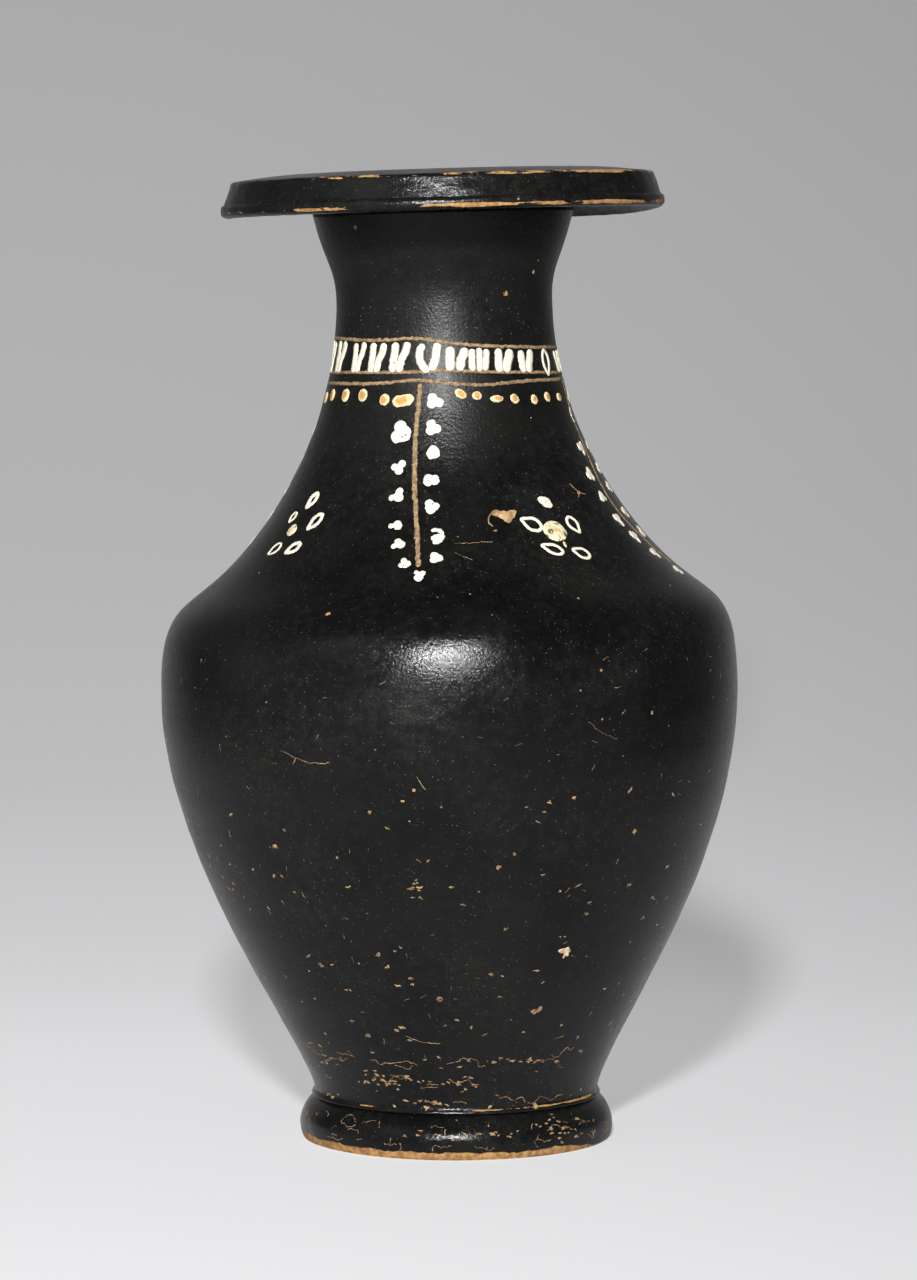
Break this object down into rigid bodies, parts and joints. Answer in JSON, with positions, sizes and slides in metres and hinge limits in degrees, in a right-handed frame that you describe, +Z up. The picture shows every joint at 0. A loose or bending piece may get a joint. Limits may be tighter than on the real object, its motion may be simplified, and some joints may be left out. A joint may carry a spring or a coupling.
{
  "type": "oinochoe",
  "caption": "Black-gloss pottery wine jug with a flat overhanging rim, narrow neck, sloping shoulder, ring foot and a strap handle at the back.",
  "frame": {"origin": "centre of the jug's outline on the ground it stands on", "axes": "+Z up, the handle at the back towards +Y, and the side seen first towards -Y"},
  "size_m": [0.1788, 0.1788, 0.3013],
  "materials": {
    "black_gloss": "gloss",
    "bare_clay": "matte",
    "white_slip": "matte",
    "yellow_slip": "matte"
  },
  "bodies": {
    "root": {"foot_ring": "black_gloss", "body": "black_gloss", "shoulder": "black_gloss", "neck": "black_gloss", "mouth_rim": "black_gloss", "strap_handle": "black_gloss"}
  },
  "joints": []
}
